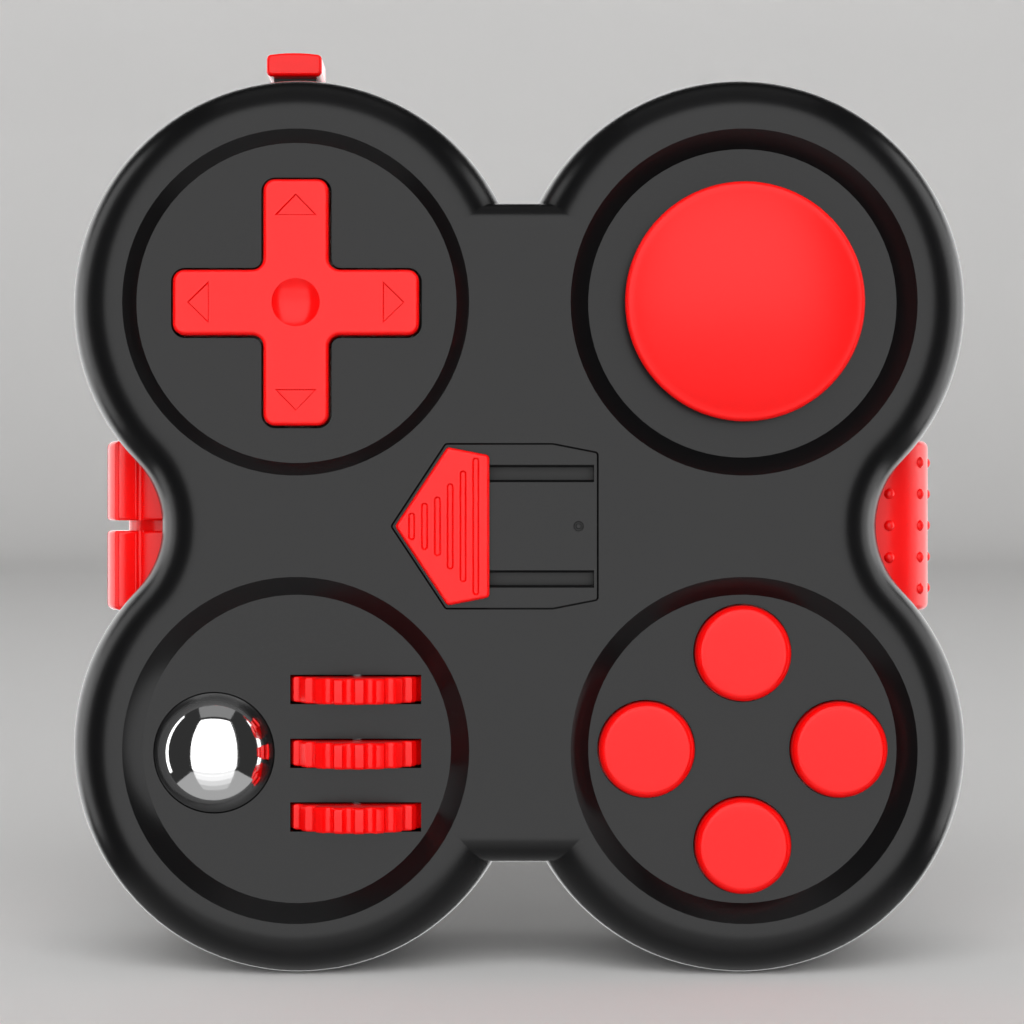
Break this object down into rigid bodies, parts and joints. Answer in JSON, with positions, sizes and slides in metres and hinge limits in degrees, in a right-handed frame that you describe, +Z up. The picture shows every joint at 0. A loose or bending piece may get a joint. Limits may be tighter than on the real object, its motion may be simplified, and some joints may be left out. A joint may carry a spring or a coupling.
{
  "type": "fidget pad",
  "caption": "Four-lobed hand-held fidget pad with a direction pad, tilting joystick, press buttons, thumb wheels, rolling ball, slider, side rocker, bumpy pad and flip switch.",
  "frame": {"origin": "under the middle of the pad as it stands on its two lower lobes, half way through its depth", "axes": "+Z up, +X to the right seen from the front, the face with the controls looks toward -Y"},
  "size_m": [0.075, 0.0288, 0.0786],
  "materials": {
    "black_shell": "smooth moulded black with a soft sheen",
    "black_inner": "plain black moulding",
    "red_gloss": "smooth moulded red",
    "red_satin": "fine satin red",
    "red_rubber": "soft red rubber",
    "acetal": "natural white acetal",
    "chrome_ball": "polished steel ball",
    "steel": "plated steel",
    "spring_steel": "spring steel",
    "silicone": "translucent white silicone"
  },
  "bodies": {
    "casing": {"back_shell": "black_shell", "ball_housing": "black_inner", "ball_housing_screws": "steel", "ball_spring": "spring_steel", "button_left_spring": "spring_steel", "button_lower_spring": "spring_steel", "button_plate": "black_inner", "button_right_spring": "spring_steel", "button_screws": "steel", "button_upper_spring": "spring_steel", "case_screws": "steel", "dpad_bracket": "black_inner", "dpad_membrane": "silicone", "dpad_screws": "steel", "front_shell": "black_shell", "joystick_base": "black_inner", "joystick_screws": "steel", "joystick_spring": "spring_steel", "massage_pad": "red_rubber", "rocker_pin": "steel", "rocker_spring": "spring_steel", "slider_detent_spring": "spring_steel", "slider_keeper": "black_inner", "slider_screws": "steel", "switch_bracket": "black_inner", "switch_pin": "steel", "switch_spring": "spring_steel", "wheel_axle": "steel", "wheel_click_spring": "spring_steel", "wheel_frame": "black_inner", "wheel_frame_screws": "steel"},
    "dpad_spider": {"dpad_spider": "steel"},
    "dpad": {"dpad": "red_gloss"},
    "joystick_gimbal": {"joystick_gimbal_ring": "acetal"},
    "joystick": {"joystick_cap": "red_satin", "joystick_stem": "black_inner"},
    "button_upper": {"button_upper": "red_gloss"},
    "button_lower": {"button_lower": "red_gloss"},
    "button_left": {"button_left": "red_gloss"},
    "button_right": {"button_right": "red_gloss"},
    "wheel_upper": {"wheel_upper": "red_gloss"},
    "wheel_middle": {"wheel_middle": "red_gloss"},
    "wheel_lower": {"wheel_lower": "red_gloss"},
    "ball_plunger": {"ball_plunger": "acetal"},
    "ball_seat": {"ball_seat": "acetal"},
    "ball": {"roller_ball": "chrome_ball"},
    "slider": {"slider_knob": "red_gloss", "slider_carrier": "black_inner"},
    "side_rocker": {"side_rocker": "red_gloss"},
    "flip_switch": {"switch_cap": "red_gloss", "switch_stem": "black_inner"}
  },
  "joints": [
    {"name": "dpad_pitch", "type": "hinge", "parent": "casing", "child": "dpad_spider", "pos_m": [-0.01855, -0.0074, 0.0561], "axis": [1, 0, 0], "range_deg": [-2.5, 2.5], "stiffness_Nm_per_rad": 0.05},
    {"name": "dpad_roll", "type": "hinge", "parent": "dpad_spider", "child": "dpad", "pos_m": [-0.01855, -0.0074, 0.0561], "axis": [0, 0, 1], "range_deg": [-2.5, 2.5], "stiffness_Nm_per_rad": 0.05},
    {"name": "joystick_pitch", "type": "hinge", "parent": "casing", "child": "joystick_gimbal", "pos_m": [0.01855, -0.0046, 0.0561], "axis": [1, 0, 0], "range_deg": [-6, 6], "stiffness_Nm_per_rad": 0.05, "deforming": ["joystick_spring"]},
    {"name": "joystick_roll", "type": "hinge", "parent": "joystick_gimbal", "child": "joystick", "pos_m": [0.01855, -0.0046, 0.0561], "axis": [0, 0, 1], "range_deg": [-6, 6], "stiffness_Nm_per_rad": 0.05},
    {"name": "button_upper_press", "type": "slide", "parent": "casing", "child": "button_upper", "axis": [0, 1, 0], "range_m": [0, 0.0009], "stiffness_N_per_m": 300, "deforming": ["button_upper_spring"]},
    {"name": "button_lower_press", "type": "slide", "parent": "casing", "child": "button_lower", "axis": [0, 1, 0], "range_m": [0, 0.0009], "stiffness_N_per_m": 300, "deforming": ["button_lower_spring"]},
    {"name": "button_left_press", "type": "slide", "parent": "casing", "child": "button_left", "axis": [0, 1, 0], "range_m": [0, 0.0009], "stiffness_N_per_m": 300, "deforming": ["button_left_spring"]},
    {"name": "button_right_press", "type": "slide", "parent": "casing", "child": "button_right", "axis": [0, 1, 0], "range_m": [0, 0.0009], "stiffness_N_per_m": 300, "deforming": ["button_right_spring"]},
    {"name": "wheel_upper_spin", "type": "hinge", "parent": "casing", "child": "wheel_upper", "pos_m": [-0.01365, -0.0071, 0.02395], "axis": [0, 0, 1], "continuous": true},
    {"name": "wheel_middle_spin", "type": "hinge", "parent": "casing", "child": "wheel_middle", "pos_m": [-0.01365, -0.0071, 0.01863], "axis": [0, 0, 1], "continuous": true},
    {"name": "wheel_lower_spin", "type": "hinge", "parent": "casing", "child": "wheel_lower", "pos_m": [-0.01365, -0.0071, 0.01333], "axis": [0, 0, 1], "continuous": true},
    {"name": "ball_click", "type": "slide", "parent": "casing", "child": "ball_plunger", "axis": [0, 1, 0], "range_m": [0, 0.0008], "stiffness_N_per_m": 600, "deforming": ["ball_spring"]},
    {"name": "ball_swivel", "type": "hinge", "parent": "ball_plunger", "child": "ball_seat", "pos_m": [-0.02545, -0.00776, 0.01868], "axis": [0, 1, 0], "continuous": true},
    {"name": "ball_roll", "type": "hinge", "parent": "ball_seat", "child": "ball", "pos_m": [-0.02545, -0.00776, 0.01868], "axis": [1, 0, 0], "continuous": true},
    {"name": "slider_travel", "type": "slide", "parent": "casing", "child": "slider", "axis": [1, 0, 0], "range_m": [0, 0.0087]},
    {"name": "rocker_tilt", "type": "hinge", "parent": "casing", "child": "side_rocker", "pos_m": [-0.0284, 0.0008, 0.03755], "axis": [0, 1, 0], "range_deg": [-3, 3], "stiffness_Nm_per_rad": 0.05},
    {"name": "switch_flip", "type": "hinge", "parent": "casing", "child": "flip_switch", "pos_m": [-0.0194, 0.0008, 0.0706], "axis": [1, 0, 0], "range_deg": [-12, 12]}
  ]
}
